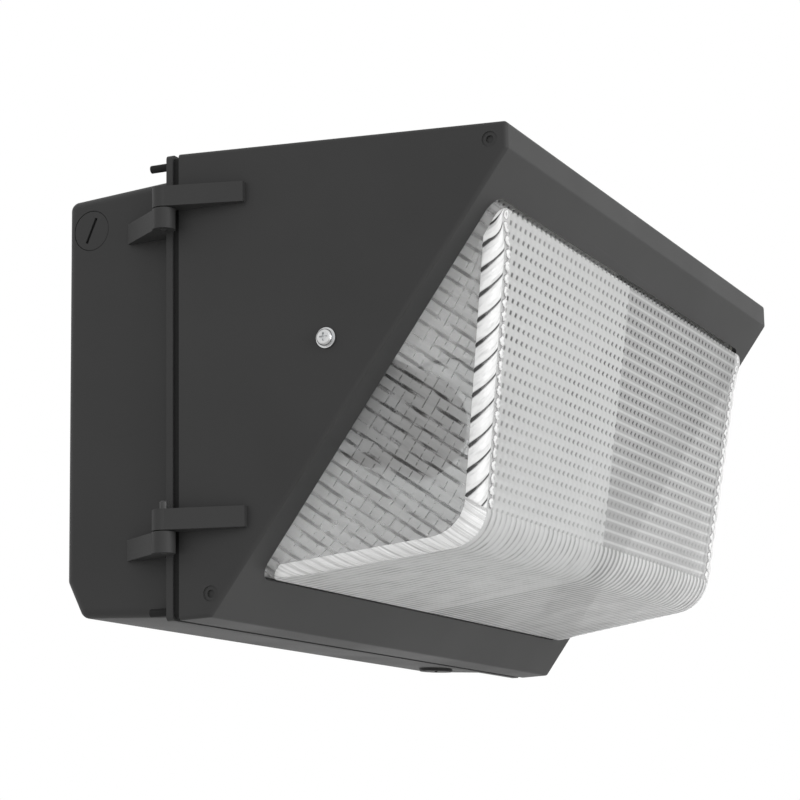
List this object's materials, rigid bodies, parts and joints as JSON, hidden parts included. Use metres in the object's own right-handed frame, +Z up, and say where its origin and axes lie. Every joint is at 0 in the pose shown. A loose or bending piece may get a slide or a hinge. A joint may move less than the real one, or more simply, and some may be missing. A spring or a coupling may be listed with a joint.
{
  "type": "wall pack light",
  "caption": "Wall-mounted outdoor light with a box housing, a hinged sloping door with a prismatic glass lens, a lamp and reflector, and control gear.",
  "frame": {"origin": "centre of the box's rear face, on the wall, at the middle of the wall fixing holes", "axes": "+Y into the wall, +Z up, +X to the right for someone facing the light; the lens faces -Y"},
  "size_m": [0.4888, 0.2475, 0.235],
  "materials": {
    "powder_coat": "fine textured dark bronze powder coat",
    "seal_rubber": "matt black rubber",
    "lens_seal": "pale silicone",
    "lens_glass": "pressed clear glass",
    "lamp_glass": "clear glass",
    "reflector_aluminium": "bright anodised sheet",
    "zinc_steel": "zinc plated steel",
    "laminated_steel": "varnished laminations",
    "enamelled_copper": "varnished winding",
    "can_aluminium": "drawn can",
    "potting": "black moulded case",
    "porcelain": "glazed porcelain",
    "moulded_plastic": "ivory moulding",
    "brass": "nickel dulled brass",
    "quartz": "fused quartz",
    "nickel_wire": "drawn wire",
    "green_zinc": "green passivated screw"
  },
  "bodies": {
    "box": {"back_box": "powder_coat", "side_conduit_plugs": "powder_coat", "lower_conduit_plug": "powder_coat", "door_seal": "seal_rubber", "ballast_core": "laminated_steel", "ballast_coils": "enamelled_copper", "ballast_brackets": "zinc_steel", "capacitor": "can_aluminium", "capacitor_strap": "zinc_steel", "ignitor": "potting", "terminal_block": "moulded_plastic", "gear_screws": "zinc_steel", "terminal_block_screw": "zinc_steel", "ground_screw": "green_zinc"},
    "door": {"door_frame": "powder_coat", "hinge_pins": "zinc_steel", "side_blanking_plugs": "powder_coat", "lens": "lens_glass", "lens_seal": "lens_seal", "lens_clips": "zinc_steel", "lens_clip_screws": "zinc_steel", "reflector_back": "reflector_aluminium", "reflector_right_side": "reflector_aluminium", "reflector_left_side": "reflector_aluminium", "side_screws": "zinc_steel", "side_screw_washers": "zinc_steel", "socket_bracket": "zinc_steel", "lamp_socket": "porcelain", "socket_contact": "brass", "lamp_base": "brass", "lamp_envelope": "lamp_glass", "arc_tube": "quartz", "arc_frame": "nickel_wire"},
    "upper_washer": {"upper_screw_washer": "zinc_steel"},
    "upper_screw": {"upper_door_screw": "zinc_steel"},
    "lower_washer": {"lower_screw_washer": "zinc_steel"},
    "lower_screw": {"lower_door_screw": "zinc_steel"}
  },
  "joints": [
    {"name": "door_hinge", "type": "hinge", "parent": "box", "child": "door", "pos_m": [-0.2355, -0.068, 0], "axis": [0, 0, -1], "range_deg": [0, 110]},
    {"name": "upper_screw_travel", "type": "slide", "parent": "door", "child": "upper_washer", "axis": [0, -1, 0], "range_m": [0, 0.0082]},
    {"name": "upper_screw_turn", "type": "hinge", "parent": "upper_washer", "child": "upper_screw", "pos_m": [0.2385, -0.085, 0.0905], "axis": [0, -1, 0], "range_deg": [0, 2952]},
    {"name": "lower_screw_travel", "type": "slide", "parent": "door", "child": "lower_washer", "axis": [0, -1, 0], "range_m": [0, 0.0082]},
    {"name": "lower_screw_turn", "type": "hinge", "parent": "lower_washer", "child": "lower_screw", "pos_m": [0.2385, -0.085, -0.0695], "axis": [0, -1, 0], "range_deg": [0, 2952]}
  ],
  "couplings": [
    {"joint": "upper_screw_turn", "follows": "upper_screw_travel", "rad_per_m": 6283.2},
    {"joint": "lower_screw_turn", "follows": "lower_screw_travel", "rad_per_m": 6283.2}
  ]
}
